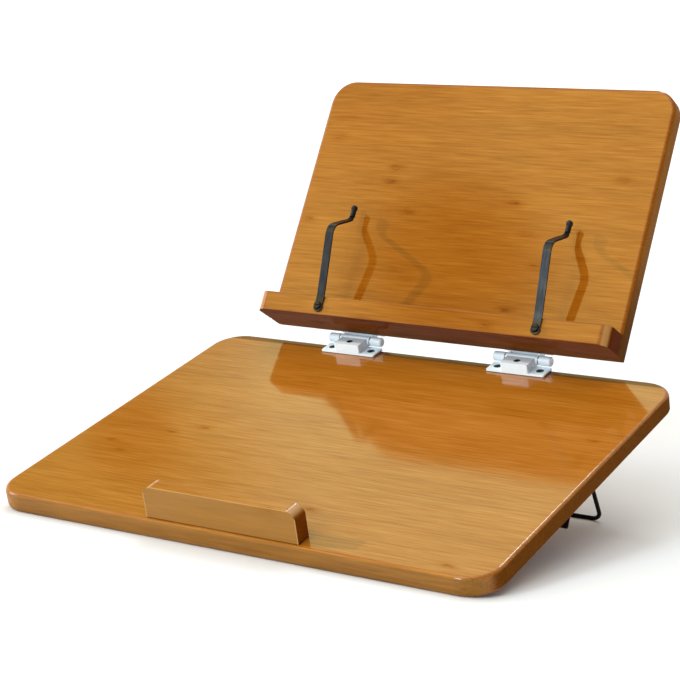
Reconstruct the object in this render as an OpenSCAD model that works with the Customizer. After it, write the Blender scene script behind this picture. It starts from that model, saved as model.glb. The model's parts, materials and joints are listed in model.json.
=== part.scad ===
// Bamboo book stand: a sloping lower board on a wire bail, with a hinged upper panel,
// a ledge with swivelling page clips and a book stop.
// Units are millimetres, +Z is up, +X is the reader's right and +Y points away from the reader.

/* [Posture] */
// Slope of the lower board on the desk
board_tilt = 17; // [13:0.5:19]
// Angle of the upper panel over the plane of the lower board
panel_angle = 48.1; // [35:0.1:70]

/* [Lower board] */
// Width of the lower board
board_w = 420; // [380:1:460]
// Depth of the lower board, front to back
board_d = 314; // [290:1:340]
// Thickness of the lower board
board_t = 15; // [12:0.5:20]
// Plan radius of the lower board's corners
board_corner_r = 25; // [12:1:40]
// Rounding of the long edges of both boards
edge_r = 3; // [1:0.5:4.5]

/* [Book stop] */
// Length of the book stop
stop_len = 129.5; // [100:0.5:180]
// Thickness of the book stop, front to back
stop_depth = 13; // [10:0.5:18]
// Height of the book stop above the board
stop_h = 25; // [18:0.5:32]
// Distance from the board's front edge to the stop
stop_setback = 3; // [2:0.5:12]
// Spacing of the two screws under the stop
stop_screw_spacing = 84; // [50:1:92]

/* [Upper panel] */
// Width of the upper panel
panel_w = 323.5; // [290:0.5:350]
// Height of the upper panel along its face
panel_h = 225; // [190:1:260]
// Thickness of the upper panel
panel_t = 16; // [13:0.5:19]
// Plan radius of the panel's top corners
panel_corner_r = 21; // [10:1:35]
// Depth of the ledge in front of the panel
ledge_depth = 24.7; // [18:0.1:32]
// Height of the ledge along the panel
ledge_h = 16.7; // [14:0.1:22]
// Spacing of the outer screws that hold the ledge
ledge_screw_spacing = 262; // [230:1:280]

/* [Bar ends] */
// Length of the arc at the ends of the stop and the ledge, along the bar
ear_run = 8.5; // [6:0.5:12]
// Drop of the arc at the ends of the stop and the ledge
ear_drop = 6.5; // [3:0.25:9]
// Rounding of the exposed long edges of the stop and the ledge
bar_edge_r = 1; // [0.5:0.25:3]

/* [Hinges] */
// Spacing of the two hinges
hinge_spacing = 156; // [130:1:180]
// Width of a hinge's base plate
hinge_plate_w = 51; // [44:1:60]
// Depth of a hinge's base plate
hinge_plate_d = 16; // [14:0.5:20]
// Thickness of the hinge's sheet metal
hinge_sheet = 2; // [1.5:0.25:2.5]
// Plan radius of the base plate's corners
hinge_plate_r = 1.5; // [0.5:0.25:3]
// Distance of the base plate's screws from the board's back edge
base_screw_inset = 8; // [4:0.1:9]
// Width of the raised block on the base plate
hinge_block_w = 24; // [18:1:26]
// Height of the raised block above the board
hinge_block_h = 9.5; // [8:0.25:11]
// Plan radius of the raised block's corners
hinge_block_r = 1; // [0.5:0.25:2]
// Diameter of the adjuster in the block
adjuster_d = 5; // [4:0.25:6]
// Depth of the adjuster's top below the block's top
adjuster_sink = 1; // [0.5:0.25:2]
// Width of the adjuster's hex socket across its corners
adjuster_socket = 3; // [2:0.25:3.25]
// Diameter of the hinge barrel
barrel_d = 7.8; // [7:0.1:9]
// Length of the hinge barrel
barrel_len = 51; // [46:0.5:60]
// Chamfer on the barrel's ends
barrel_chamfer = 0.8; // [0.4:0.1:1.2]
// Distance of the barrel's axis behind the board's back edge
axis_back = 0.5; // [0.25:0.25:4]
// Height of the barrel's axis above the board's top face
axis_up = 6.8; // [6.6:0.1:8]
// Diameter of the hinge pin
pin_d = 4; // [3:0.25:5]
// Thickness of the friction washers
washer_t = 0.8; // [0.5:0.1:1.2]
// Step from the barrel's surface in to the rim of the washers
washer_step = 0.4; // [0.2:0.1:0.8]
// Depth of the leaf's arms beside the block
leaf_arm_d = 5.5; // [4:0.25:6]
// Height of the foot of the leaf's tongue over the barrel's axis
tongue_foot = 1; // [0.5:0.25:3]
// Width of the leaf's plate on the panel's back
leaf_plate_w = 46; // [40:1:60]
// Height of the leaf's plate on the panel's back
leaf_plate_h = 30; // [24:1:40]
// Plan radius of the leaf plate's corners
leaf_plate_r = 3; // [1:0.5:6]
// Distance of the leaf's screws from the edges of its plate
leaf_screw_edge = 7; // [5:0.5:8]
// Distance from the barrel's axis to the panel's bottom face
panel_rise = 7.644; // [7.5:0.001:10]
// Distance from the barrel's axis to the panel's front face
panel_front = 9.868; // [8:0.001:11]

/* [Page clips] */
// Spacing of the two page clips
clip_spacing = 201; // [170:1:230]
// Width of the clip's strip
clip_w = 7; // [5:0.5:9]
// Diameter of the clip's round heel
clip_heel_d = 8; // [7.5:0.25:10]
// Thickness of the clip's strip
clip_t = 1.4; // [1:0.1:2]
// Height of the clip's pivot screw on the ledge
clip_pivot_h = 7.5; // [6:0.25:9]
// Length of the strip below its pivot
clip_heel = 5; // [4.5:0.25:5.5]
// Length of strip on each side of the lift above the pivot that its bend takes up
clip_lift_run = 5; // [3:0.5:8]
// Height of the clip's outward bend over the ledge's underside
clip_bend_h = 74; // [60:1:90]
// Distance of the outward bend in front of the ledge
clip_bulge = 14; // [8:0.5:16]
// Radius of the outward bend
clip_bulge_r = 10; // [6:0.5:12]
// Height of the clip's top end
clip_top_h = 102; // [95:1:120]
// Rise from the outward bend to the inward bend
clip_return_h = 17; // [12:0.5:20]
// Radius of the inward bend
clip_return_r = 7; // [5:0.5:8]
// Gap between the panel and the clip's upright end
clip_gap = 11.5; // [9:0.5:15]
// Width of the tang that the rubber tip covers
clip_tang_w = 3.4; // [3:0.25:4.2]
// Length of the taper from the strip to its tang
clip_taper = 7; // [4:0.5:10]
// Diameter of the rubber ball on the clip's end
tip_ball_d = 5.75; // [5:0.25:8]
// Diameter of the rubber neck under the ball
tip_neck_d = 4.6; // [4.2:0.1:6]
// Rubber over the end of the tang
tip_cover = 1.8; // [1:0.1:3]
// Height of the rubber's foot above the inward bend
tip_foot = 2.5; // [1:0.25:4]

/* [Wire bail] */
// Diameter of the bail's wire
wire_d = 3.25; // [3:0.25:5]
// Distance of the bail's legs from the board's side edges
bail_inset = 42; // [34:1:60]
// Distance of the bail's pivot from the board's back edge
bail_setback = 88; // [70:1:100]
// Lean of the opened bail from the board's normal
bail_lean = 17.4; // [8:0.2:24]
// Bend radius of the bail's lower corners, on the wire's centre line
bail_bend_r = 7.5; // [6:0.5:12]
// Bend radius where the legs turn into the pivot ends
bail_hook_r = 5; // [4.5:0.25:7]
// Length of each pivot end
bail_axle = 13; // [11:0.5:18]

/* [Bail fittings] */
// Sheet thickness of the bail brackets
bracket_t = 1.5; // [1:0.25:2]
// Length of a bracket's base, front to back
bracket_len = 32; // [30:1:44]
// Plan radius of a bracket's corners
bracket_r = 3; // [1:0.5:5]
// Distance of a bracket's screws from its ends
bracket_screw_edge = 5.5; // [5:0.25:6]
// Width of the eye that holds the pivot end
eye_w = 8; // [6:0.5:9]
// Length of the stop that the opened leg leans on
bail_stop_len = 15; // [10:0.5:20]
// Width of the stop that the opened leg leans on
bail_stop_w = 10; // [7:0.5:12]
// Sheet thickness of the bail catches
catch_t = 1.2; // [0.8:0.1:1.6]
// Distance from the board's side edge to the middle of the catch's tab
catch_inset = 22; // [20:0.5:26]
// Distance from the folded crossbar forward to the catch's tab
catch_reach = 21; // [18:0.5:32]
// Drop of the catch's tab below the board
tab_drop = 16; // [10:0.5:20]
// Width of the tab's lower edge
tab_w = 24; // [16:0.5:28]
// Flare of the tab's sides
tab_flare = 16; // [6:1:20]
// Width of the cradle for the folded crossbar
cradle_w = 14; // [10:0.5:20]
// Play of the folded crossbar between the cradle's two lips
cradle_play = 1; // [0.5:0.1:2]
// Depth of the cradle's two lips
cradle_drop = 7; // [5:0.25:8]

/* [Fasteners] */
// Shank diameter of the wood screws
screw_d = 3.5; // [3:0.25:4]
// Head diameter of the wood screws
screw_head_d = 6.5; // [6:0.25:7]
// Width of the cross recess in the wood screws
recess_w = 3.9; // [3:0.1:4.5]
// Width of one slot of the cross recess
recess_slot = 0.8; // [0.6:0.1:1.2]
// Depth of the cross recess
recess_h = 1; // [0.6:0.1:1.2]
// Diameter of the wood screws' points
point_d = 0.7; // [0.4:0.1:1]
// Length of the short wood screws
screw_short = 12; // [9:0.5:13]
// Grip of the long wood screws in the second piece
screw_grip = 14; // [10:0.5:16]
// Head diameter of the clip's pivot screw
pivot_head_d = 7; // [6:0.25:8]
// Top diameter of the pivot screw's domed head
pivot_top_d = 5.6; // [4:0.1:6]
// Head height of the clip's pivot screw
pivot_head_h = 2.2; // [1.5:0.1:3]
// Width of the slot in the pivot screw's head
pivot_slot = 1; // [0.6:0.1:1.4]

/* [Clearances] */
// Radial clearance of screws in their holes
screw_fit = 0.05; // [0.02:0.01:0.1]
// Radial clearance of pins in their bores
pin_fit = 0.05; // [0.02:0.01:0.1]
// Axial clearance between neighbours on a pin
axial_fit = 0.1; // [0.05:0.05:0.2]
// Gap between faces that pass each other
run_gap = 0.3; // [0.2:0.05:0.5]
// Play of a page clip against the ledge and against its screw's head
clip_play = 0.1; // [0.05:0.05:0.3]

/* [Hidden] */
$fn = 64;

LEFT = -1;
RIGHT = 1;
SIDES = [LEFT, RIGHT];
// Overlap of fused shapes, and overshoot of cuts
eps = 0.01;
over = 1;

bamboo = "#c98a3c";
bamboo_dark = "#b5752c";
white_metal = "#e9eaec";
dark_steel = "#39414c";
black_metal = "#17181a";
black_rubber = "#0d0d0e";

// Height of the lower board's top front edge while the rounded bottom edge rests on the desk
board_lift = edge_r + cos(board_tilt) * (board_t - edge_r) - sin(board_tilt) * edge_r;
// The axis of both hinges in the lower board's frame
axis_v = board_d + axis_back;
axis_w = axis_up;

// Foremost point: the rounded top front edge of the book stop
front_y = cos(board_tilt) * (stop_setback + bar_edge_r)
  - sin(board_tilt) * (stop_h - bar_edge_r) - bar_edge_r;
// Rearmost point: the rounded top back edge of the upper panel
top_s = panel_rise + panel_h - edge_r;
top_n = panel_front - panel_t + edge_r;
rear_v = axis_v + top_s * cos(panel_angle) - top_n * sin(panel_angle);
rear_w = axis_w + top_s * sin(panel_angle) + top_n * cos(panel_angle);
rear_y = cos(board_tilt) * rear_v - sin(board_tilt) * rear_w + edge_r;
mid_y = (front_y + rear_y) / 2;

// Bail: the pivot clears its bracket's base, and the leg reaches from there to the desk
wire_r = wire_d / 2;
bail_half = board_w / 2 - bail_inset;
bail_v = board_d - bail_setback;
bail_w = -(board_t + bracket_t + run_gap + wire_r);
bail_z = board_lift + sin(board_tilt) * bail_v + cos(board_tilt) * bail_w;
bail_leg = (bail_z - wire_r) / cos(board_tilt + bail_lean);
folded_v = bail_v - bail_leg;

// Hinge barrel, measured from the middle of a hinge
barrel_r = barrel_d / 2;
leaf_inner = hinge_block_w / 2 + axial_fit;
leaf_outer = leaf_inner + hinge_sheet;
washer_x = leaf_outer + axial_fit;
sleeve_x = washer_x + washer_t + axial_fit;
adjuster_y = (axis_back - barrel_r - hinge_plate_d) / 2;
base_screw_x = (hinge_plate_w / 2 + hinge_block_w / 2) / 2;
leaf_screw_x = leaf_plate_w / 2 - leaf_screw_edge;
leaf_screw_rows = [leaf_screw_edge, leaf_plate_h - leaf_screw_edge];

// Page clip: centre line of the strip in front of the panel, as [distance, height]
clip_d0 = ledge_depth + clip_play + clip_t / 2;
clip_lift_h = clip_pivot_h + pivot_head_d / 2 + run_gap + clip_lift_run;
clip_lift_turn = atan(clip_bulge / (clip_bend_h - clip_lift_h));
clip_lift_r = clip_lift_run / tan(clip_lift_turn / 2);
clip_path = [
  [clip_d0, clip_pivot_h - clip_heel],
  [clip_d0, clip_lift_h],
  [clip_d0 + clip_bulge, clip_bend_h],
  [clip_gap, clip_bend_h + clip_return_h],
  [clip_gap, clip_top_h]
];
clip_radii = [0, clip_lift_r, clip_bulge_r, clip_return_r, 0];
// Points on each rounded bend of the strip
bend_steps = 8;
tip_foot_h = clip_bend_h + clip_return_h + tip_foot;
tip_ball_h = clip_top_h + tip_cover - tip_ball_d / 2;
clip_taper_h = tip_foot_h - clip_taper;

// Bail fittings
cradle_x = bail_half - bail_bend_r - cradle_w / 2 - wire_r;
mouth = wire_d + cradle_play;
tab_v = folded_v - catch_reach;
tab_x = board_w / 2 - catch_inset;
catch_screw_v = (tab_v + folded_v) / 2;
eye_x = bail_half - bail_hook_r - axial_fit - eye_w / 2;
bracket_screw_dv = bracket_len / 2 - bracket_screw_edge;

// Frames

// The lower board's frame: x right, y back along the board, z off its top face
module on_board() {
  translate([0, -mid_y, board_lift]) rotate([board_tilt, 0, 0]) children();
}

// The upper panel's frame at the hinge axis: y up along the panel, z off its front face
module on_panel() {
  on_board() translate([0, axis_v, axis_w]) rotate([panel_angle, 0, 0]) children();
}

// The same frame with its origin on the panel's front face at its bottom edge
module on_panel_face() {
  on_panel() translate([0, panel_rise, panel_front]) children();
}

// The underside of the lower board, with z pointing down from it
module under_board() {
  on_board() translate([0, 0, -board_t]) children();
}

// The bail's frame at its pivot: the bail lies in the XZ plane, its crossbar below
module on_bail() {
  on_board() translate([0, bail_v, bail_w]) rotate([bail_lean, 0, 0]) children();
}

// A hinge's frame on the board's back edge
module on_hinge(side) {
  on_board() translate([side * hinge_spacing / 2, board_d, 0]) children();
}

// The back face of the panel at a hinge, with z pointing off the back
module on_panel_back(side) {
  on_panel_face() translate([side * hinge_spacing / 2, 0, -panel_t]) mirror([0, 0, 1]) children();
}

// The pivot of a page clip on the ledge's front face
module on_clip(side) {
  on_panel_face() translate([side * clip_spacing / 2, 0, 0]) children();
}

// Shared shapes

// Cross-section of a board's border: a bar whose outer corners are round
module border(run, th, r) {
  square([run - r, th]);
  translate([0, r]) square([run, th - 2 * r]);
  for (z = [r, th - r]) translate([run - r, z]) circle(r);
}

// A straight border along +Y, its outer face towards +X
module straight_border(len, run, th, r) {
  translate([0, len, 0]) rotate([90, 0, 0]) linear_extrude(len) border(run, th, r);
}

// A quarter-round border, its outer face towards +X and +Y
module corner_border(run, th, r) {
  rotate_extrude(angle = 90) border(run, th, r);
}

// A board in the XY plane, thick along +Z, with round edges and round corners at its back,
// and either round or square corners at its front
module board_slab(w, d, th, corner, r, round_front) {
  front = round_front ? corner : 0;
  translate([-w / 2 + corner, front, 0]) cube([w - 2 * corner, d - corner - front, th]);
  translate([w / 2 - corner, d - corner, 0]) corner_border(corner, th, r);
  translate([corner - w / 2, d - corner, 0]) rotate(90) corner_border(corner, th, r);
  translate([w / 2 - corner, d - corner, 0]) rotate(90)
    straight_border(w - 2 * corner, corner, th, r);
  translate([w / 2 - corner, front, 0]) straight_border(d - corner - front, corner, th, r);
  translate([corner - w / 2, d - corner, 0]) rotate(180)
    straight_border(d - corner - front, corner, th, r);
  if (round_front) {
    translate([corner - w / 2, corner, 0]) rotate(180) corner_border(corner, th, r);
    translate([w / 2 - corner, corner, 0]) rotate(270) corner_border(corner, th, r);
    translate([corner - w / 2, corner, 0]) rotate(270)
      straight_border(w - 2 * corner, corner, th, r);
  }
}

// Outline of a bar whose two top corners run down an arc to a hard edge
module eared_outline(len, h) {
  ear_r = (ear_run * ear_run + ear_drop * ear_drop) / (2 * ear_drop);
  intersection() {
    translate([-len / 2, 0]) square([len, h]);
    union() {
      translate([-len / 2, 0]) square([len, h - (ear_drop + ear_r) / 2]);
      translate([-len / 2 + ear_run, 0]) square([len - 2 * ear_run, h]);
      for (s = SIDES) translate([s * (len / 2 - ear_run), h - ear_r]) circle(ear_r);
    }
  }
}

// Cross-section of a bar whose two top edges are round
module bar_section(depth, h, r) {
  square([depth, h - r]);
  translate([r, 0]) square([depth - 2 * r, h]);
  for (y = [r, depth - r]) translate([y, h - r]) circle(r);
}

// A bar along X, deep along +Y and high along +Z
module eared_bar(len, depth, h, r) {
  intersection() {
    translate([0, depth, 0]) rotate([90, 0, 0]) linear_extrude(depth) eared_outline(len, h);
    translate([-len / 2, 0, 0]) rotate([90, 0, 90]) linear_extrude(len) bar_section(depth, h, r);
  }
}

// A plate with round plan corners, from its corner at the origin
module round_plate(w, d, th, r) {
  linear_extrude(th) {
    translate([r, 0]) square([w - 2 * r, d]);
    translate([0, r]) square([w, d - 2 * r]);
    for (x = [r, w - r], y = [r, d - r]) translate([x, y]) circle(r);
  }
}

// A countersunk wood screw down from z = 0, with a cross recess
module wood_screw(len) {
  cone_h = (screw_head_d - screw_d) / 2;
  difference() {
    union() {
      translate([0, 0, -cone_h]) cylinder(d1 = screw_d, d2 = screw_head_d, h = cone_h);
      translate([0, 0, screw_d - len]) cylinder(d = screw_d, h = len - screw_d - cone_h + eps);
      translate([0, 0, -len]) cylinder(d1 = point_d, d2 = screw_d, h = screw_d);
    }
    for (turn = [0, 90]) rotate(turn)
      translate([-recess_w / 2, -recess_slot / 2, -recess_h]) cube([recess_w, recess_slot, recess_h + over]);
  }
}

// The hole that a wood screw fills, with its countersink at z = 0
module wood_screw_hole(len) {
  d = screw_d + 2 * screw_fit;
  head = screw_head_d + 2 * screw_fit;
  cone_h = (head - d) / 2;
  translate([0, 0, -cone_h]) cylinder(d1 = d, d2 = head, h = cone_h);
  translate([0, 0, -len - screw_fit]) cylinder(d = d, h = len + screw_fit);
  cylinder(d = head, h = over);
}

// Points of a path whose corners are rounded by tangent arcs
function unit(v) = v / norm(v);
function turn_of(a, b) = atan2(a[0] * b[1] - a[1] * b[0], a * b);
function corner_arc(p, q, s, r, steps) =
  let (a = unit(q - p), b = unit(s - q), turn = turn_of(a, b), cut = r * tan(abs(turn) / 2),
    side = turn > 0 ? 1 : -1, centre = q - a * cut + side * r * [-a[1], a[0]],
    start = atan2(-side * a[0], side * a[1]))
  [for (i = [0:steps]) let (ang = start + turn * i / steps) centre + r * [cos(ang), sin(ang)]];
function rounded_path(pts, radii, steps) = [
  pts[0],
  for (i = [1:len(pts) - 2]) each corner_arc(pts[i - 1], pts[i], pts[i + 1], radii[i], steps),
  pts[len(pts) - 1]
];
function normal_at(path, i) =
  let (a = path[max(i - 1, 0)], b = path[min(i + 1, len(path) - 1)], t = unit(b - a)) [-t[1], t[0]];
function strip_outline(path, th) = concat(
  [for (i = [0:len(path) - 1]) path[i] + normal_at(path, i) * th / 2],
  [for (i = [len(path) - 1:-1:0]) path[i] - normal_at(path, i) * th / 2]
);

// Places of the fasteners

module at_stop_screws() {
  under_board() for (s = SIDES)
    translate([s * stop_screw_spacing / 2, stop_setback + stop_depth / 2, 0]) mirror([0, 0, 1]) children();
}

module at_base_screws(side) {
  on_hinge(side) for (s = SIDES) translate([s * base_screw_x, -base_screw_inset, hinge_sheet]) children();
}

module at_leaf_screws(side) {
  on_panel_back(side) for (s = SIDES, h = leaf_screw_rows)
    translate([s * leaf_screw_x, h, hinge_sheet]) children();
}

module at_ledge_screws() {
  on_panel_face() for (s = [-1, 0, 1])
    translate([s * ledge_screw_spacing / 2, ledge_h / 2, -panel_t]) mirror([0, 0, 1]) children();
}

module at_bracket_screws(side) {
  under_board() for (s = SIDES)
    translate([side * eye_x, bail_v + s * bracket_screw_dv, -bracket_t]) mirror([0, 0, 1]) children();
}

module at_catch_screws(side) {
  under_board() for (x = [cradle_x, tab_x])
    translate([side * x, catch_screw_v, -catch_t]) mirror([0, 0, 1]) children();
}

// Lower board group

module lower_board() {
  color(bamboo) difference() {
    under_board() board_slab(board_w, board_d, board_t, board_corner_r, edge_r, true);
    at_stop_screws() wood_screw_hole(board_t + screw_grip);
    for (side = SIDES) {
      at_base_screws(side) wood_screw_hole(screw_short);
      at_bracket_screws(side) wood_screw_hole(screw_short);
      at_catch_screws(side) wood_screw_hole(screw_short);
    }
  }
}

module book_stop() {
  color(bamboo_dark) difference() {
    on_board() translate([0, stop_setback, 0]) eared_bar(stop_len, stop_depth, stop_h, bar_edge_r);
    at_stop_screws() wood_screw_hole(board_t + screw_grip);
  }
}

module stop_screws() {
  color(black_metal) at_stop_screws() wood_screw(board_t + screw_grip);
}

// Base of a hinge: plate on the board and raised block that holds the middle of the barrel
module hinge_base(side) {
  color(white_metal) difference() {
    on_hinge(side) {
      translate([-hinge_plate_w / 2, -hinge_plate_d, 0])
        round_plate(hinge_plate_w, hinge_plate_d, hinge_sheet, hinge_plate_r);
      translate([-hinge_block_w / 2, -hinge_plate_d, 0])
        round_plate(hinge_block_w, hinge_plate_d, hinge_block_h, hinge_block_r);
      translate([-hinge_block_w / 2, -hinge_plate_d / 2, 0])
        cube([hinge_block_w, hinge_plate_d / 2 + axis_back, hinge_block_h]);
      translate([0, axis_back, axis_up]) rotate([0, 90, 0])
        cylinder(d = barrel_d, h = hinge_block_w, center = true);
    }
    on_hinge(side) translate([0, axis_back, axis_up]) rotate([0, 90, 0])
      cylinder(r = pin_d / 2 + pin_fit, h = hinge_block_w + 2 * over, center = true);
    on_hinge(side) translate([0, adjuster_y, hinge_sheet])
      cylinder(r = adjuster_d / 2 + screw_fit, h = hinge_block_h);
    at_base_screws(side) wood_screw_hole(screw_short);
  }
}

module left_hinge_base() hinge_base(LEFT);
module right_hinge_base() hinge_base(RIGHT);

module hinge_base_screws() {
  color(black_metal) for (side = SIDES) at_base_screws(side) wood_screw(screw_short);
}

// Socket set screws that set the hinges' friction, sunk below the blocks' tops
module hinge_adjusters() {
  grub_h = hinge_block_h - hinge_sheet - adjuster_sink;
  color(black_metal) for (side = SIDES) on_hinge(side) translate([0, adjuster_y, hinge_sheet])
    difference() {
      cylinder(d = adjuster_d, h = grub_h);
      translate([0, 0, grub_h / 2]) cylinder(d = adjuster_socket, h = grub_h, $fn = 6);
    }
}

module hinge_pin(side) {
  color(white_metal) on_hinge(side) translate([0, axis_back, axis_up]) rotate([0, 90, 0])
    cylinder(d = pin_d, h = barrel_len, center = true);
}

module left_hinge_pin() hinge_pin(LEFT);
module right_hinge_pin() hinge_pin(RIGHT);

// A ring on a hinge's axis, from x to x + len
module barrel_ring(x, len, d, chamfer) {
  translate([x, axis_back, axis_up]) rotate([0, 90, 0]) difference() {
    union() {
      cylinder(d = d, h = len - chamfer);
      translate([0, 0, len - chamfer]) cylinder(d1 = d, d2 = d - 2 * chamfer, h = chamfer);
    }
    translate([0, 0, -over]) cylinder(r = pin_d / 2 + pin_fit, h = len + 2 * over);
  }
}

module hinge_washers() {
  washer_d = barrel_d - 2 * washer_step;
  washer_chamfer = washer_t / 8;
  color(dark_steel) for (side = SIDES) on_hinge(side) for (s = [0, 1]) mirror([s, 0, 0])
    barrel_ring(washer_x, washer_t, washer_d, washer_chamfer);
}

// The outer thirds of a barrel, fixed to the pin
module hinge_sleeves(side) {
  color(white_metal) on_hinge(side) for (s = [0, 1]) mirror([s, 0, 0])
    barrel_ring(sleeve_x, barrel_len / 2 - sleeve_x, barrel_d, barrel_chamfer);
}

module left_hinge_sleeves() hinge_sleeves(LEFT);
module right_hinge_sleeves() hinge_sleeves(RIGHT);

// Bracket under the board: base, eye for the bail's pivot end and the stop for its leg
module bail_bracket(side) {
  eye_r = wire_r + bracket_t;
  base_in = eye_x - eye_w / 2 - bracket_t;
  base_w = bail_half + bail_stop_w / 2 - base_in;
  stop_from = -(wire_r + run_gap + bracket_t);
  color(black_metal) difference() {
    union() {
      under_board() mirror([side == LEFT ? 1 : 0, 0, 0])
        translate([base_in, bail_v - bracket_len / 2, -bracket_t])
          round_plate(base_w, bracket_len, bracket_t, bracket_r);
      on_board() translate([side * eye_x, bail_v, bail_w]) {
        rotate([0, 90, 0]) cylinder(r = eye_r, h = eye_w, center = true);
        translate([-eye_w / 2, -eye_r, 0]) cube([eye_w, 2 * eye_r, -bail_w - board_t]);
      }
      difference() {
        on_bail() translate([side * bail_half - bail_stop_w / 2, wire_r + run_gap, -bail_stop_len])
          cube([bail_stop_w, bracket_t, bail_stop_len - stop_from]);
        under_board() translate([side * bail_half - bail_stop_w, 0, -bracket_t / 2])
          cube([2 * bail_stop_w, board_d, board_t]);
      }
    }
    on_board() translate([side * eye_x, bail_v, bail_w]) rotate([0, 90, 0])
      cylinder(r = wire_r + pin_fit, h = eye_w + 2 * over, center = true);
    at_bracket_screws(side) wood_screw_hole(screw_short);
  }
}

module left_bail_bracket() bail_bracket(LEFT);
module right_bail_bracket() bail_bracket(RIGHT);

module bail_bracket_screws() {
  color(black_metal) for (side = SIDES) at_bracket_screws(side) wood_screw(screw_short);
}

// Catch under the board: base, flared finger tab and a cradle for the folded crossbar
module bail_catch(side) {
  base_in = cradle_x - cradle_w / 2;
  tab_top_w = tab_w + 2 * tab_drop * tan(tab_flare);
  base_out = tab_x + tab_top_w / 2;
  base_back = folded_v + mouth / 2 + catch_t;
  color(black_metal) difference() {
    under_board() mirror([side == LEFT ? 1 : 0, 0, 0]) {
      translate([base_in, tab_v, -catch_t]) cube([base_out - base_in, base_back - tab_v, catch_t]);
      translate([tab_x, tab_v, 0]) rotate([90, 0, 0]) translate([0, 0, -catch_t]) linear_extrude(catch_t)
        polygon([[-tab_top_w / 2, 0], [-tab_w / 2, -tab_drop], [tab_w / 2, -tab_drop], [tab_top_w / 2, 0]]);
      for (v = [folded_v - mouth / 2 - catch_t, folded_v + mouth / 2])
        translate([base_in, v, -cradle_drop]) cube([cradle_w, catch_t, cradle_drop]);
    }
    at_catch_screws(side) wood_screw_hole(screw_short);
  }
}

module left_bail_catch() bail_catch(LEFT);
module right_bail_catch() bail_catch(RIGHT);

module bail_catch_screws() {
  color(black_metal) for (side = SIDES) at_catch_screws(side) wood_screw(screw_short);
}

// Upper panel group

module upper_panel() {
  color(bamboo) difference() {
    on_panel_face() translate([0, 0, -panel_t])
      board_slab(panel_w, panel_h, panel_t, panel_corner_r, edge_r, false);
    at_ledge_screws() wood_screw_hole(panel_t + screw_grip);
    for (side = SIDES) at_leaf_screws(side) wood_screw_hole(screw_short);
  }
}

module upper_ledge() {
  color(bamboo_dark) difference() {
    on_panel_face() eared_bar(panel_w, ledge_h, ledge_depth, bar_edge_r);
    at_ledge_screws() wood_screw_hole(panel_t + screw_grip);
    for (side = SIDES) on_clip(side) translate([0, clip_pivot_h, ledge_depth - screw_short])
      cylinder(r = screw_d / 2 + screw_fit, h = screw_short + over);
  }
}

module ledge_screws() {
  color(black_metal) at_ledge_screws() wood_screw(panel_t + screw_grip);
}

// Moving leaf of a hinge: a plate on the panel's back, its tongue below the panel and two arms to the barrel
module hinge_leaf(side) {
  knuckle_len = leaf_outer - leaf_inner;
  tongue_w = 2 * leaf_outer;
  back_z = panel_front - panel_t;
  color(white_metal) difference() {
    on_panel() translate([side * hinge_spacing / 2, 0, 0]) {
      for (s = SIDES) translate([s * (leaf_inner + leaf_outer) / 2, 0, 0]) {
        rotate([0, 90, 0]) cylinder(d = barrel_d, h = knuckle_len, center = true);
        translate([-knuckle_len / 2, 0, back_z - hinge_sheet])
          cube([knuckle_len, leaf_arm_d, hinge_sheet - back_z]);
      }
      translate([-tongue_w / 2, tongue_foot, back_z - hinge_sheet])
        cube([tongue_w, panel_rise + over - tongue_foot, hinge_sheet]);
      translate([-leaf_plate_w / 2, panel_rise, back_z - hinge_sheet])
        round_plate(leaf_plate_w, leaf_plate_h, hinge_sheet, leaf_plate_r);
    }
    on_panel() translate([side * hinge_spacing / 2, 0, 0]) rotate([0, 90, 0])
      cylinder(r = pin_d / 2 + pin_fit, h = tongue_w + 2 * over, center = true);
    at_leaf_screws(side) wood_screw_hole(screw_short);
  }
}

module left_hinge_leaf() hinge_leaf(LEFT);
module right_hinge_leaf() hinge_leaf(RIGHT);

module hinge_leaf_screws() {
  color(black_metal) for (side = SIDES) at_leaf_screws(side) wood_screw(screw_short);
}

// Slotted screws that the page clips turn on
module clip_screws() {
  head_z = ledge_depth + clip_t + 2 * clip_play;
  point_z = ledge_depth - screw_short;
  color(black_metal) for (side = SIDES) on_clip(side) translate([0, clip_pivot_h, 0]) difference() {
    union() {
      translate([0, 0, point_z]) cylinder(d = screw_d, h = head_z - point_z + eps);
      translate([0, 0, head_z]) cylinder(d1 = pivot_head_d, d2 = pivot_top_d, h = pivot_head_h);
    }
    translate([-pivot_head_d / 2, -pivot_slot / 2, head_z + pivot_head_h / 2])
      cube([pivot_head_d, pivot_slot, pivot_head_h]);
  }
}

// Page clips

// Front view of a clip's strip: round heel, straight sides and a narrow tang at the top
module clip_front() {
  heel_y = clip_pivot_h - clip_heel + clip_heel_d / 2;
  translate([0, heel_y]) circle(d = clip_heel_d);
  polygon([
    [-clip_w / 2, heel_y], [clip_w / 2, heel_y],
    [clip_w / 2, clip_taper_h], [clip_tang_w / 2, tip_foot_h],
    [clip_tang_w / 2, clip_top_h], [-clip_tang_w / 2, clip_top_h],
    [-clip_tang_w / 2, tip_foot_h], [-clip_w / 2, clip_taper_h]
  ]);
}

// The bent strip at its full width
module clip_strip() {
  path = rounded_path(clip_path, clip_radii, bend_steps);
  widest = max(clip_w, clip_heel_d);
  translate([-widest / 2, 0, 0]) rotate([0, 90, 0]) mirror([1, 0, 0])
    linear_extrude(widest) polygon(strip_outline(path, clip_t));
}

module page_clip(side) {
  color(dark_steel) on_clip(side) difference() {
    intersection() {
      clip_strip();
      linear_extrude(2 * ledge_depth) clip_front();
    }
    translate([0, clip_pivot_h, ledge_depth - over])
      cylinder(r = screw_d / 2 + pin_fit, h = clip_t + 2 * over);
  }
}

module left_page_clip() page_clip(LEFT);
module right_page_clip() page_clip(RIGHT);

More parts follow.
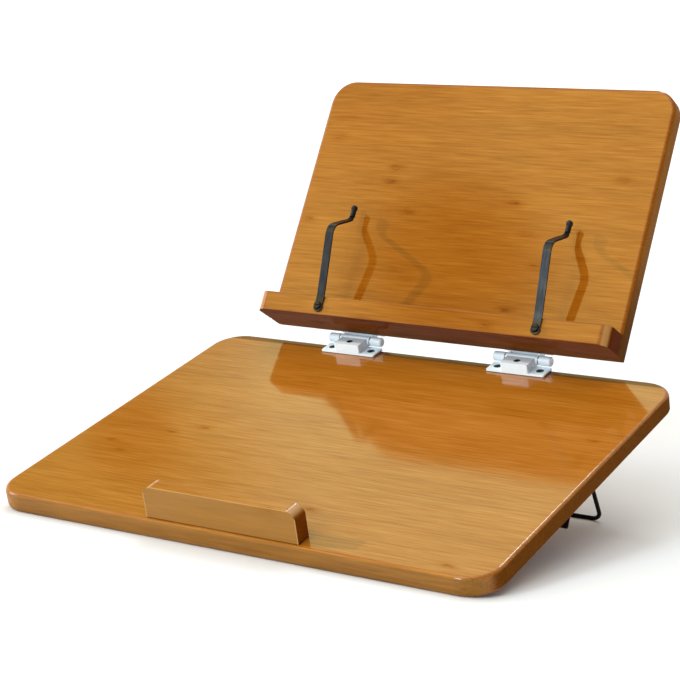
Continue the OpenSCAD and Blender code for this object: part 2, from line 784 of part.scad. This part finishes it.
// Rubber tip: a ball on a neck, pushed over the strip's tang
module clip_tip(side) {
  slot_w = clip_tang_w + 2 * screw_fit;
  slot_t = clip_t + 2 * screw_fit;
  color(black_rubber) on_clip(side) difference() {
    translate([0, 0, clip_gap]) rotate([-90, 0, 0]) {
      translate([0, 0, tip_foot_h]) cylinder(d = tip_neck_d, h = tip_ball_h - tip_foot_h);
      translate([0, 0, tip_ball_h]) sphere(d = tip_ball_d);
    }
    translate([-slot_w / 2, tip_foot_h - over, clip_gap - slot_t / 2])
      cube([slot_w, clip_top_h + screw_fit - tip_foot_h + over, slot_t]);
  }
}

module left_clip_tip() clip_tip(LEFT);
module right_clip_tip() clip_tip(RIGHT);

// Wire bail

// A quarter bend of the wire in the XZ plane, from +X round to +Z
module wire_elbow(bend_r) {
  rotate([90, 0, 0]) rotate_extrude(angle = 90) translate([bend_r, 0]) circle(r = wire_r);
}

module wire_bail() {
  straight = bail_leg - bail_bend_r - bail_hook_r;
  color(black_metal) on_bail() {
    for (s = [0, 1]) mirror([s, 0, 0]) {
      translate([bail_half - bail_hook_r - bail_axle, 0, 0]) rotate([0, 90, 0])
        cylinder(r = wire_r, h = bail_axle);
      translate([bail_half - bail_hook_r, 0, -bail_hook_r]) wire_elbow(bail_hook_r);
      translate([bail_half, 0, bail_bend_r - bail_leg]) cylinder(r = wire_r, h = straight);
      translate([bail_half - bail_bend_r, 0, bail_bend_r - bail_leg]) rotate([0, 90, 0])
        wire_elbow(bail_bend_r);
    }
    translate([0, 0, -bail_leg]) rotate([0, 90, 0])
      cylinder(r = wire_r, h = 2 * (bail_half - bail_bend_r), center = true);
  }
}

lower_board();
book_stop();
stop_screws();
left_hinge_base();
right_hinge_base();
hinge_base_screws();
hinge_adjusters();
left_hinge_pin();
right_hinge_pin();
hinge_washers();
left_hinge_sleeves();
right_hinge_sleeves();
left_bail_bracket();
right_bail_bracket();
bail_bracket_screws();
left_bail_catch();
right_bail_catch();
bail_catch_screws();
upper_panel();
upper_ledge();
ledge_screws();
left_hinge_leaf();
right_hinge_leaf();
hinge_leaf_screws();
clip_screws();
left_page_clip();
right_page_clip();
left_clip_tip();
right_clip_tip();
wire_bail();
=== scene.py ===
import json
import math
from collections import namedtuple

import bpy
from mathutils import Matrix, Vector

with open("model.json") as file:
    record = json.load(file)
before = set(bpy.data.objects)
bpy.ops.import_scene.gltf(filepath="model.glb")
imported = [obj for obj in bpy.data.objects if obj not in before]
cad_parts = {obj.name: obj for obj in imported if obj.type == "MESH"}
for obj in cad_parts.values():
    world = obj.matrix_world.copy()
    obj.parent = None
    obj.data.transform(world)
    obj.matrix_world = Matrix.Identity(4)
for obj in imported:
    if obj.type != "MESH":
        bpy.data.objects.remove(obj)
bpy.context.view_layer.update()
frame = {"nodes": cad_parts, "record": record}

MM = 0.001
BOARD_SLOPE = math.radians(17.0)
PANEL_SLOPE = math.radians(17.0 + 48.1)

# Places on the lower board, along its slope and square to it, in the frame turned by that slope
BOARD_MID_Y = 198.554 * MM
BOARD_LIFT = 13.5985 * MM
BOARD_DEPTH = 314.0 * MM
BOARD_FRONT = math.sin(BOARD_SLOPE) * BOARD_LIFT - math.cos(BOARD_SLOPE) * BOARD_MID_Y
BOARD_BACK = BOARD_FRONT + BOARD_DEPTH
BOARD_TOP = math.sin(BOARD_SLOPE) * BOARD_MID_Y + math.cos(BOARD_SLOPE) * BOARD_LIFT
STOP_H = 25.0 * MM
STOP_HALF = 64.75 * MM
HINGE_X = 78.0 * MM
ADJUSTER_ACROSS = BOARD_BACK - 9.7 * MM
ADJUSTER_R = 2.55 * MM
# The panel's front face, the top of its ledge and the clips' bend, in the frame turned by the panel's slope
PANEL_FACE = -33.853 * MM
LEDGE_TOP = 168.176 * MM
CLIP_BEND = LEDGE_TOP + 57.3 * MM

# Camera: fitted to the photo's straight edges, in metres and in pixels of a 680 pixel frame
EYE = Vector((743.9, -1227.92, 319.09)) * MM
LOOK = Vector((-0.529031, 0.838297, -0.131852))
RIGHT = Vector((0.84306, 0.536922, 0.031057))
FOCAL_PX = 1880.5
FRAME_PX = 680
SENSOR_MM = 36.0


class Value:
    """One output socket of a node tree; arithmetic on it adds Math nodes."""

    def __init__(self, finish, socket):
        self.finish = finish
        self.socket = socket

    def __add__(self, other):
        return self.finish.math("ADD", self, other)

    def __sub__(self, other):
        return self.finish.math("SUBTRACT", self, other)

    def __mul__(self, other):
        return self.finish.math("MULTIPLY", self, other)

    def __truediv__(self, other):
        return self.finish.math("DIVIDE", self, other)

    def __radd__(self, other):
        return self.finish.math("ADD", other, self)

    def __rsub__(self, other):
        return self.finish.math("SUBTRACT", other, self)

    def __rmul__(self, other):
        return self.finish.math("MULTIPLY", other, self)

    def __rtruediv__(self, other):
        return self.finish.math("DIVIDE", other, self)

    def __neg__(self):
        return self.finish.math("MULTIPLY", -1, self)

    def __abs__(self):
        return self.finish.math("ABSOLUTE", self)


class Finish:
    """A node tree under construction."""

    def __init__(self, tree):
        self.tree = tree
        tree.nodes.clear()

    def node(self, kind, settings, sockets, out=0):
        """Add a node, set its settings, then fill or link its sockets; return one of its outputs."""
        node = self.tree.nodes.new(kind)
        for name, value in settings.items():
            if name == "stops":
                set_stops(node.color_ramp, value)
            else:
                setattr(node, name, value)
        for key, value in sockets.items():
            if isinstance(value, Value):
                self.tree.links.new(value.socket, node.inputs[key])
            else:
                node.inputs[key].default_value = value
        return Value(self, node.outputs[out]) if len(node.outputs) else None

    def math(self, operation, *values):
        return self.node("ShaderNodeMath", {"operation": operation}, dict(enumerate(values)))

    def step(self, low, high, value):
        """0 at low, 1 at high and smooth between them, whichever of the two is larger."""
        return self.node("ShaderNodeMapRange", {"interpolation_type": "SMOOTHSTEP"},
                         {"Value": value, "From Min": low, "From Max": high})

    def join(self, x, y, z):
        return self.node("ShaderNodeCombineXYZ", {}, {"X": x, "Y": y, "Z": z})

    def split(self, vector):
        first = self.node("ShaderNodeSeparateXYZ", {}, {0: vector})
        return [Value(self, socket) for socket in first.socket.node.outputs]

    def turned(self, coordinate, slope):
        """The three parts of a texture coordinate, in the frame turned about X by a slope."""
        place = self.node("ShaderNodeTexCoord", {}, {}, coordinate)
        return self.split(self.node("ShaderNodeVectorRotate", {"rotation_type": "X_AXIS"},
                                    {"Vector": place, "Angle": -slope}))

    def noise(self, place, detail, roughness=0.5):
        return self.node("ShaderNodeTexNoise", {"noise_dimensions": "3D"},
                         {"Vector": place, "Scale": 1.0, "Detail": detail, "Roughness": roughness})

    def speckle(self, scale, detail):
        """Noise that is alike in all directions, with so many waves in a metre."""
        place = self.node("ShaderNodeTexCoord", {}, {}, "Object")
        scaled = self.node("ShaderNodeVectorMath", {"operation": "SCALE"}, {0: place, "Scale": scale})
        return self.noise(scaled, detail)

    def ramp(self, stops, factor):
        """A colour that runs through stops of a position and a colour."""
        return self.node("ShaderNodeValToRGB", {"stops": stops}, {"Fac": factor})

    def mix(self, factor, first, second):
        """Mix two colours."""
        return self.node("ShaderNodeMix", {"data_type": "RGBA"}, {0: factor, 6: first, 7: second}, 2)


def set_stops(ramp, stops):
    while len(ramp.elements) < len(stops):
        ramp.elements.new(1.0)
    for element, (position, colour) in zip(ramp.elements, stops):
        element.position = position
        element.color = (*colour, 1.0)


def new_material(name):
    material = bpy.data.materials.new(name)
    material.use_nodes = True
    return material, Finish(material.node_tree)


def surface(finish, sockets):
    """End a material in one Principled shader."""
    shader = finish.node("ShaderNodeBsdfPrincipled", {}, sockets)
    finish.node("ShaderNodeOutputMaterial", {}, {"Surface": shader})


# Bamboo

STRIP_W = 6.2 * MM
STRIP_LEAN = 0.9
NODE_GAP = 210 * MM
NODE_LANE = 13 * MM
BAMBOO_STOPS = [
    (0.0, (0.200, 0.048, 0.002)),
    (0.3, (0.330, 0.096, 0.004)),
    (0.55, (0.420, 0.137, 0.007)),
    (0.8, (0.500, 0.184, 0.018)),
    (1.0, (0.590, 0.255, 0.050)),
]
# Colour of the painted shade in creases and shaded places
SHADE_BROWN = (0.060, 0.018, 0.003, 1.0)
# Colour of the painted highlights on edges and shoulders
HIGHLIGHT_TAN = (0.560, 0.330, 0.120, 1.0)

# Layers of the grain: waves in a metre along and across the strips, roughness, and weight in the shade
Layer = namedtuple("Layer", "along across roughness weight")
FIBRE = Layer(30, 820, 0.60, 0.85)
STREAK = Layer(24, 420, 0.55, 0.32)
BAND = Layer(6, 90, 0.50, 0.26)
CLOUD = Layer(9, 16, 0.50, 0.30)
MID_SHADE = 0.56
STRIP_WEIGHT = 0.08
MARK_WEIGHT = 0.34
HALO_WEIGHT = 0.13

# Where a mask is 0 and where it is 1. For the nodes of the cane: chance, noise and distance from the node
NODE_CHANCE = (0.76, 0.96)
FLECK_NOISE = (0.45, 0.62)
MARK_ALONG = (7 * MM, 1 * MM)
MARK_ACROSS = (4 * MM, 1 * MM)
HALO_ALONG = (15 * MM, 0.0)
HALO_ACROSS = (6 * MM, 0.0)
# For faces: the part of the normal that points one way
FACE_TURN = (0.5, 0.9)
CUT_END_TURN = (0.78, 0.95)
EDGE_TURN = (0.15, 0.35)
SHOULDER_START = (0.25, 0.45)
SHOULDER_END = (0.92, 0.72)
# For glancing angles: the Facing output of Layer Weight
GLANCING = (0.76, 0.92)

# Lacquer: its least weight, then the shares lost at cane nodes, behind, at a glance and in the places of
# painted shade
GLOSS_BASE = 0.50
HALO_LOSS = 0.45
REAR_LOSS = 0.5
GLANCING_LOSS = 0.85
DARK_LOSS = 0.8
LACQUER_IOR = 1.55

# How strongly the painted shade and the painted highlights show
STOP_FOOT_SHADE = 0.85
BACK_EDGE_SHADE = 0.6
LEDGE_CREASE_SHADE = 0.75
PANEL_END_SHADE = 0.7
STOP_OUTLINE_HIGHLIGHT = 0.45
STOP_SHOULDER_HIGHLIGHT = 0.5
LEDGE_SHOULDER_HIGHLIGHT = 0.45

# A point of a bamboo piece: its place in the turned frame, and which way its face looks
Spot = namedtuple("Spot", "along across deep facing_x foot cut_end")


def tinted(stops, tint):
    return [(position, tuple(c * t for c, t in zip(colour, tint))) for position, colour in stops]


REAR_STOPS = tinted(BAMBOO_STOPS, (0.80, 0.90, 1.30))


def board_painted_shade(m, spot):
    """Painted shade: in the crease at the foot of the book stop, and on the back strip and back edge of the
    board under the panel.
    """
    height = spot.deep - BOARD_TOP
    # Painted shade in the crease along the foot of the book stop, where it stands on the board
    crease_shade = m.step(0.02 * MM, 0.12 * MM, height) * m.step(1.1 * MM, 0.3 * MM, height)
    # Painted shade on the back strip and back edge of the board, under the panel
    back = m.step(BOARD_BACK - 11 * MM, BOARD_BACK - 8 * MM, spot.across)
    return m.math("MAXIMUM", crease_shade * STOP_FOOT_SHADE, back * BACK_EDGE_SHADE)


def panel_painted_shade(m, spot):
    """Painted shade: in the crease on the panel's face along the top of the ledge, and darker towards the
    foot of its ends.
    """
    # Painted shade in the crease on the panel's face along the top of the ledge
    crease_shade = m.step(LEDGE_TOP - 0.6 * MM, LEDGE_TOP, spot.across)
    crease_shade = crease_shade * m.step(LEDGE_TOP + 1.2 * MM, LEDGE_TOP + 0.5 * MM, spot.across)
    crease_shade = crease_shade * m.step(PANEL_FACE - 0.6 * MM, PANEL_FACE - 0.2 * MM, spot.deep)
    # Painted shade: the panel's ends darker towards their foot
    end_foot_shade = spot.cut_end * m.step(LEDGE_TOP + 90 * MM, LEDGE_TOP - 10 * MM, spot.across)
    return m.math("MAXIMUM", crease_shade * LEDGE_CREASE_SHADE, end_foot_shade * PANEL_END_SHADE)


def shoulder_highlight(m, spot):
    """A painted highlight on the rounded shoulder between a face and a cut end."""
    turn = abs(spot.facing_x)
    return m.step(*SHOULDER_START, turn) * m.step(*SHOULDER_END, turn)


def stop_painted_highlights(m, spot):
    """Painted highlights on the upper edge, corners and shoulders of the book stop."""
    top = m.step(STOP_H - 0.9 * MM, STOP_H - 0.4 * MM, spot.deep - BOARD_TOP)
    corner = m.step(STOP_HALF - 1.0 * MM, STOP_HALF - 0.5 * MM, abs(spot.along))
    outline = spot.foot * m.math("MAXIMUM", top, corner)
    return m.math("MAXIMUM", outline * STOP_OUTLINE_HIGHLIGHT, shoulder_highlight(m, spot) * STOP_SHOULDER_HIGHLIGHT)


def ledge_painted_highlights(m, spot):
    """Painted highlights on the shoulders of the ledge."""
    return shoulder_highlight(m, spot) * LEDGE_SHOULDER_HIGHLIGHT


def cane_nodes(m, along, across, deep, lay, seed):
    """Nodes of the cane, now and then along each lane: short dark flecks and the patch round them."""
    lane = m.math("FLOOR", lay / NODE_LANE)
    offset = m.node("ShaderNodeTexWhiteNoise", {"noise_dimensions": "1D"}, {"W": lane + seed})
    run = along / NODE_GAP + offset * 9
    cell = m.math("FLOOR", run)
    chance = m.node("ShaderNodeTexWhiteNoise", {"noise_dimensions": "2D"},
                    {"Vector": m.join(lane + seed, cell, 0.0)})
    aside = abs(run - cell - 0.5) * NODE_GAP
    above = abs(lay / NODE_LANE - lane - 0.5) * NODE_LANE
    flecks = m.noise(m.join(along * 130, across * 900, deep * 900), 1.0)
    shown = m.step(*NODE_CHANCE, chance)
    mark = m.step(*MARK_ALONG, aside) * m.step(*MARK_ACROSS, above) * shown * m.step(*FLECK_NOISE, flecks)
    halo = m.step(*HALO_ALONG, aside) * m.step(*HALO_ACROSS, above) * shown
    return mark, halo


def bamboo(name, slope, seed, stops, foot_stops, foot_gloss, end_stops, end_gloss, edge_gloss, haze,
           painted_shade_places=None, painted_highlights=None):
    """Carbonised bamboo in narrow strips along X, under clear gloss lacquer.

    The faces that look down the slope and the cut ends of the strips have their own tones and gloss,
    and the edges towards the ends have their own gloss. haze is the roughness of the lacquer.
    """
    material, m = new_material(name)
    along, across, deep = m.turned("Object", slope)
    facing_x, facing_y, facing_up = m.turned("Normal", slope)
    lay = across + deep * STRIP_LEAN
    strip = m.math("FLOOR", lay / STRIP_W)
    strip_tone = m.node("ShaderNodeTexWhiteNoise", {"noise_dimensions": "1D"}, {"W": strip + seed})

    def grain(layer, shift):
        place = m.join(along * layer.along + shift, across * layer.across, deep * layer.across)
        return m.noise(place, 2.0, layer.roughness)

    fibre = grain(FIBRE, strip_tone * 20)
    mark, halo = cane_nodes(m, along, across, deep, lay, seed)
    shade = MID_SHADE + (fibre - 0.5) * FIBRE.weight
    for layer in (STREAK, BAND, CLOUD):
        shade = shade + (grain(layer, seed) - 0.5) * layer.weight
    shade = shade + (strip_tone - 0.5) * STRIP_WEIGHT - mark * MARK_WEIGHT - halo * HALO_WEIGHT

    rear = m.step(*FACE_TURN, -facing_up)
    foot = m.step(*FACE_TURN, -facing_y)
    cut_end = m.step(*CUT_END_TURN, abs(facing_x))
    edge = m.step(*EDGE_TURN, abs(facing_x))
    colour = m.mix(rear, m.ramp(stops, shade), m.ramp(REAR_STOPS, shade))
    colour = m.mix(foot, colour, m.ramp(foot_stops, shade))
    # Cut ends of the strips, with the dots of the fibre bundles
    dots = m.noise(m.join(along * 60, across * 1500, deep * 1500), 1.0)
    colour = m.mix(cut_end, colour, m.ramp(end_stops, dots * 0.6 + shade * 0.4))

    # The lacquer lies a little unevenly over the fibres, and is thin behind, below and on edges and cut ends
    gloss = (GLOSS_BASE + fibre) * (1 - halo * HALO_LOSS) * (1 - rear * REAR_LOSS)
    for face, share in ((foot, foot_gloss), (cut_end, end_gloss), (edge, edge_gloss)):
        gloss = gloss * (1 - face * (1 - share))
    # Thin edges seen at a glancing angle keep little gloss
    glancing = m.node("ShaderNodeLayerWeight", {}, {"Blend": 0.5}, "Facing")
    gloss = gloss * (1 - GLANCING_LOSS * m.step(*GLANCING, glancing))

    spot = Spot(along, across, deep, facing_x, foot, cut_end)
    # Painted shade: darker, less glossy colour in creases and shaded places
    if painted_shade_places:
        dark = painted_shade_places(m, spot)
        colour = m.mix(dark, colour, SHADE_BROWN)
        gloss = gloss * (1 - dark * DARK_LOSS)
    # Painted highlights: lighter tan on edges and shoulders
    if painted_highlights:
        colour = m.mix(painted_highlights(m, spot), colour, HIGHLIGHT_TAN)
    bump = m.node("ShaderNodeBump", {}, {"Strength": 0.12, "Distance": 0.2 * MM, "Height": fibre})
    surface(m, {"Base Color": colour, "Roughness": 0.42 + (1 - shade) * 0.12, "Specular IOR Level": 0.0,
                "Normal": bump, "Coat Weight": gloss, "Coat Roughness": haze, "Coat IOR": LACQUER_IOR})
    return material


# Metals and rubber

HINGE_WHITE = [(0.3, (0.79, 0.89, 0.99)), (0.7, (0.86, 0.95, 1.00))]
TOP_SHADE_GREY = (0.650, 0.700, 0.770, 1.0)
SHADE_BLACK = (0.010, 0.010, 0.010, 1.0)
STEEL_STOPS = [(0.3, (0.20, 0.205, 0.215)), (0.7, (0.36, 0.37, 0.385))]
BLUED_STOPS = [(0.25, (0.010, 0.010, 0.011)), (0.75, (0.066, 0.067, 0.070))]
BLACK_ABOVE_BEND = (0.006, 0.006, 0.006, 1.0)


def white_hinge_coat():
    """White satin coating on the hinges: fine grain, with painted shade: grey tops and end faces, black in
    the adjuster bore and along the foot of the plate.
    """
    material, m = new_material("white_hinge_coat")
    grain = m.speckle(1800.0, 2.0)
    cloud = m.speckle(90.0, 2.0)
    colour = m.ramp(HINGE_WHITE, cloud * 0.5 + grain * 0.5)
    along, across, deep = m.turned("Object", BOARD_SLOPE)
    facing_x, _, facing_up = m.turned("Normal", BOARD_SLOPE)
    height = deep - BOARD_TOP
    # Painted shade: grey on the tops and the end faces
    top_shade = m.step(0.80, 0.96, facing_up) * m.step(3.0 * MM, 5.0 * MM, height)
    end_face = m.step(0.75, 0.95, abs(facing_x))
    colour = m.mix(m.math("MAXIMUM", top_shade * 0.8, end_face), colour, TOP_SHADE_GREY)
    # Painted shade: black in the crease at the foot of the plate and in the adjuster bore
    crease_shade = m.step(0.65 * MM, 0.4 * MM, height)
    side = abs(along) - HINGE_X
    fore = across - ADJUSTER_ACROSS
    from_axis = m.math("SQRT", side * side + fore * fore)
    bore = m.step(ADJUSTER_R + 0.3 * MM, ADJUSTER_R + 0.1 * MM, from_axis)
    colour = m.mix(m.math("MAXIMUM", crease_shade, bore) * 0.96, colour, SHADE_BLACK)
    bump = m.node("ShaderNodeBump", {}, {"Strength": 0.1, "Distance": 0.1 * MM, "Height": grain})
    surface(m, {"Base Color": colour, "Roughness": 0.26 + grain * 0.12, "Normal": bump})
    return material


def turned_steel():
    """Turned steel of the hinge pins and washers."""
    material, m = new_material("turned_steel")
    along, across, deep = m.split(m.node("ShaderNodeTexCoord", {}, {}, "Object"))
    rings = m.noise(m.join(along * 6000, across * 40, deep * 40), 2.0)
    surface(m, {"Base Color": m.ramp(STEEL_STOPS, rings), "Roughness": 0.18 + rings * 0.2, "Metallic": 1.0})
    return material


def black_coat(name, tone, roughness, metallic, shine):
    """Black oxide, satin coating or rubber, a little uneven."""
    material, m = new_material(name)
    grain = m.speckle(1400.0, 3.0)
    cloud = m.speckle(120.0, 2.0)
    dark = tuple(0.6 * c for c in tone)
    light = tuple(1.5 * c for c in tone)
    colour = m.ramp([(0.3, dark), (0.7, light)], cloud * 0.6 + grain * 0.4)
    bump = m.node("ShaderNodeBump", {}, {"Strength": 0.15, "Distance": 0.05 * MM, "Height": grain})
    surface(m, {"Base Color": colour, "Roughness": roughness - 0.06 + cloud * 0.12, "Metallic": metallic,
                "Specular IOR Level": shine, "Normal": bump})
    return material


def blued_spring_steel():
    """Blued spring steel of the page clips, brushed along the strip, and black and not metallic above the
    bend.
    """
    material, m = new_material("blued_spring_steel")
    along, across, deep = m.turned("Object", PANEL_SLOPE)
    brush = m.noise(m.join(along * 2600, across * 50, deep * 50), 2.0)
    cloud = m.noise(m.join(along * 90, across * 45, deep * 45), 2.0)
    above_bend = m.step(CLIP_BEND + 1 * MM, CLIP_BEND + 5 * MM, across)
    colour = m.mix(above_bend, m.ramp(BLUED_STOPS, brush * 0.45 + cloud * 0.55), BLACK_ABOVE_BEND)
    surface(m, {"Base Color": colour, "Roughness": 0.16 + brush * 0.14 + above_bend * 0.16,
                "Metallic": 0.7 * (1 - above_bend), "Specular IOR Level": 0.12})
    return material


# Finish of each node: the four bamboo pieces by name, the rest by their slot in the record

LOWER_STOPS = tinted(BAMBOO_STOPS, (0.74, 0.765, 1.25))
UPPER_STOPS = tinted(BAMBOO_STOPS, (0.585, 0.51, 0.42))
BOARD_FOOT = [(0.3, (0.182, 0.069, 0.004)), (0.7, (0.275, 0.108, 0.007))]
STOP_FOOT = [(0.15, (0.225, 0.092, 0.008)), (0.85, (0.345, 0.146, 0.014))]
# Undersides of the panel and ledge: painted shade, darker tones for the shade beneath them
UPPER_UNDERSIDE_SHADE = [(0.3, (0.130, 0.038, 0.003)), (0.7, (0.225, 0.066, 0.006))]
BOARD_ENDS = [(0.3, (0.100, 0.028, 0.002)), (0.7, (0.205, 0.065, 0.005))]
STOP_ENDS = [(0.3, (0.120, 0.028, 0.002)), (0.7, (0.245, 0.066, 0.004))]
PANEL_ENDS = [(0.3, (0.170, 0.058, 0.006)), (0.7, (0.340, 0.125, 0.014))]
LEDGE_ENDS = [(0.3, (0.072, 0.012, 0.001)), (0.7, (0.140, 0.026, 0.002))]

BAMBOO_FINISHES = {
    "lower_board": bamboo("board_bamboo", BOARD_SLOPE, seed=3.0, stops=LOWER_STOPS,
                          foot_stops=BOARD_FOOT, foot_gloss=0.7, end_stops=BOARD_ENDS, end_gloss=0.05,
                          edge_gloss=0.7, haze=0.09, painted_shade_places=board_painted_shade),
    "book_stop": bamboo("stop_bamboo", BOARD_SLOPE, seed=5.0, stops=LOWER_STOPS,
                        foot_stops=STOP_FOOT, foot_gloss=0.7, end_stops=STOP_ENDS, end_gloss=0.05,
                        edge_gloss=1.0, haze=0.12, painted_shade_places=board_painted_shade,
                        painted_highlights=stop_painted_highlights),
    "upper_panel": bamboo("panel_bamboo", PANEL_SLOPE, seed=11.0, stops=UPPER_STOPS,
                          foot_stops=UPPER_UNDERSIDE_SHADE, foot_gloss=0.06, end_stops=PANEL_ENDS, end_gloss=0.4,
                          edge_gloss=0.3, haze=0.06, painted_shade_places=panel_painted_shade),
    "upper_ledge": bamboo("ledge_bamboo", PANEL_SLOPE, seed=11.0, stops=UPPER_STOPS,
                          foot_stops=UPPER_UNDERSIDE_SHADE, foot_gloss=0.08, end_stops=LEDGE_ENDS, end_gloss=0.1,
                          edge_gloss=0.5, haze=0.06, painted_highlights=ledge_painted_highlights),
}
SLOT_FINISHES = {
    "white_metal": white_hinge_coat(),
    "bright_steel": turned_steel(),
    "black_screw": black_coat("black_screw_oxide", (0.009, 0.009, 0.010),
                              roughness=0.30, metallic=0.2, shine=0.3),
    "black_steel": black_coat("black_satin_steel", (0.004, 0.004, 0.0045),
                              roughness=0.42, metallic=0.0, shine=0.10),
    "spring_steel": blued_spring_steel(),
    "rubber": black_coat("black_tip_rubber", (0.006, 0.006, 0.007),
                         roughness=0.32, metallic=0.0, shine=0.25),
}

for subpart in frame["record"]["subparts"]:
    node = frame["nodes"][subpart["node"]]
    material = BAMBOO_FINISHES.get(subpart["node"]) or SLOT_FINISHES[subpart["material_slot"]]
    node.data.materials.clear()
    node.data.materials.append(material)


# Floor, light and camera

FLOOR_HALF = 40.0
FLOOR_TONE = (0.87, 0.90, 1.00, 1.0)
CAMERA_REACH = 200.0
# Brightness of the surroundings, and the shares of light lost on the right and of green and blue high up
HORIZON_LEVEL = 1.40
WALL_LEVEL = 0.80
CEILING_LEVEL = 1.90
RIGHT_LOSS = 0.8
GREEN_LOSS = 0.04
BLUE_LOSS = 0.18
# Where each of these changes starts and ends: Z of the direction, and X for the right side
WALL_RISE = (0.1, 0.4)
CEILING_RISE = (0.6, 0.9)
RIGHT_SIDE = (0.1, 0.8)
WARM_RISE = (0.15, 0.7)
# Light and dark places in the surroundings, as the lacquer mirrors them:
# azimuth, elevation, radius of the full part and of the outer edge in degrees, and the colour
WALL_PATCHES = [
    (-142.0, 39.0, 8.0, 16.0, (2.95, 2.35, 0.74)),
    (-142.6, 37.4, 0.6, 3.8, (0.4, 0.4, 0.12)),
    (-135.0, 41.5, 1.5, 5.0, (1.9, 1.5, 0.50)),
    (-40.0, 41.0, 7.0, 16.0, (1.07, 1.32, 0.69)),
    (-45.0, 31.0, 1.5, 5.0, (0.45, 0.55, 0.32)),
    (-54.0, 36.5, 4.0, 9.0, (0.45, 0.50, 0.15)),
    (-79.0, 61.0, 8.0, 17.0, (0.3, 0.3, 0.25)),
    (-48.9, 35.5, 1.1, 1.6, (0.02, 0.02, 0.01)),
]
# Distant lights: where each comes from and its angular size in degrees, strength and colour,
# whether gloss mirrors it, and whether it falls on the floor
LIGHTS = [
    ("left_key", -104.0, 30.0, 24.0, 0.50, (1.0, 1.0, 1.0), True, True),
    ("left_lamp", -107.7, 23.1, 1.2, 2.40, (1.0, 1.0, 1.0), False, False),
    ("back_light", -22.0, 54.0, 8.0, 0.20, (1.0, 1.0, 1.0), True, True),
    ("front_fill", -165.0, 22.0, 16.0, 1.25, (0.66, 0.88, 1.0), True, True),
]


def direction(azimuth, elevation):
    """Unit vector at an azimuth from +Y, clockwise seen from above, and an elevation, both in degrees."""
    a = math.radians(azimuth)
    e = math.radians(elevation)
    return Vector((math.sin(a) * math.cos(e), math.cos(a) * math.cos(e), math.sin(e)))


def pale_floor():
    material, m = new_material("pale_floor")
    surface(m, {"Base Color": FLOOR_TONE, "Roughness": 0.9, "Specular IOR Level": 0.0})
    corners = [(x * FLOOR_HALF, y * FLOOR_HALF, 0) for x, y in ((-1, -1), (1, -1), (1, 1), (-1, 1))]
    mesh = bpy.data.meshes.new("floor")
    mesh.from_pydata(corners, [], [(0, 1, 2, 3)])
    mesh.materials.append(material)
    floor = bpy.data.objects.new("floor", mesh)
    bpy.context.scene.collection.objects.link(floor)
    return floor


def studio_walls():
    """White surroundings, brighter and warmer above and dimmer on the right, with the mirrored places."""
    world = bpy.data.worlds.new("studio")
    bpy.context.scene.world = world
    world.use_nodes = True
    w = Finish(world.node_tree)
    place = w.node("ShaderNodeTexCoord", {}, {}, "Generated")
    x, _, z = w.split(place)
    level = HORIZON_LEVEL + (WALL_LEVEL - HORIZON_LEVEL) * w.step(*WALL_RISE, z)
    level = level + (CEILING_LEVEL - WALL_LEVEL) * w.step(*CEILING_RISE, z)
    level = level * (1 - RIGHT_LOSS * w.step(*RIGHT_SIDE, x))
    warm = w.step(*WARM_RISE, z)
    colour = w.node("ShaderNodeCombineColor", {}, {"Red": level, "Green": level * (1 - GREEN_LOSS * warm),
                                                   "Blue": level * (1 - BLUE_LOSS * warm)})
    for azimuth, elevation, inner, outer, tint in WALL_PATCHES:
        near = w.node("ShaderNodeVectorMath", {"operation": "DOT_PRODUCT"},
                      {0: place, 1: direction(azimuth, elevation)}, "Value")
        patch = w.step(math.cos(math.radians(outer)), math.cos(math.radians(inner)), near)
        colour = w.mix(patch, colour, (*tint, 1.0))
    light = w.node("ShaderNodeBackground", {}, {"Color": colour, "Strength": 1.0})
    w.node("ShaderNodeOutputWorld", {}, {"Surface": light})


def distant_light(name, azimuth, elevation, spread, strength, tint, mirrored):
    """A distant soft light; one that isn't mirrored shows in no gloss."""
    light = bpy.data.lights.new(name, "SUN")
    light.color = tint
    light.angle = math.radians(spread)
    light.energy = strength
    lamp = bpy.data.objects.new(name, light)
    lamp.rotation_euler = direction(azimuth, elevation).to_track_quat("Z", "Y").to_euler()
    lamp.visible_glossy = mirrored
    bpy.context.scene.collection.objects.link(lamp)
    return lamp


def keep_off(lamp, piece):
    """Keep a light off one object, so that it draws no shadow there."""
    unlit = bpy.data.collections.new(lamp.name + "_unlit")
    unlit.objects.link(piece)
    lamp.light_linking.receiver_collection = unlit
    unlit.collection_objects[0].light_linking.link_state = "EXCLUDE"


def photo_camera():
    camera = bpy.data.cameras.new("photo_camera")
    camera.sensor_width = SENSOR_MM
    camera.lens = FOCAL_PX * SENSOR_MM / FRAME_PX
    camera.clip_end = CAMERA_REACH
    body = bpy.data.objects.new("photo_camera", camera)
    up = RIGHT.cross(LOOK)
    body.matrix_world = Matrix((
        (RIGHT.x, up.x, -LOOK.x, EYE.x),
        (RIGHT.y, up.y, -LOOK.y, EYE.y),
        (RIGHT.z, up.z, -LOOK.z, EYE.z),
        (0.0, 0.0, 0.0, 1.0),
    ))
    bpy.context.scene.collection.objects.link(body)
    bpy.context.scene.camera = body


bpy.context.scene.view_settings.view_transform = "Standard"
floor = pale_floor()
studio_walls()
for *light, on_floor in LIGHTS:
    lamp = distant_light(*light)
    if not on_floor:
        keep_off(lamp, floor)
photo_camera()
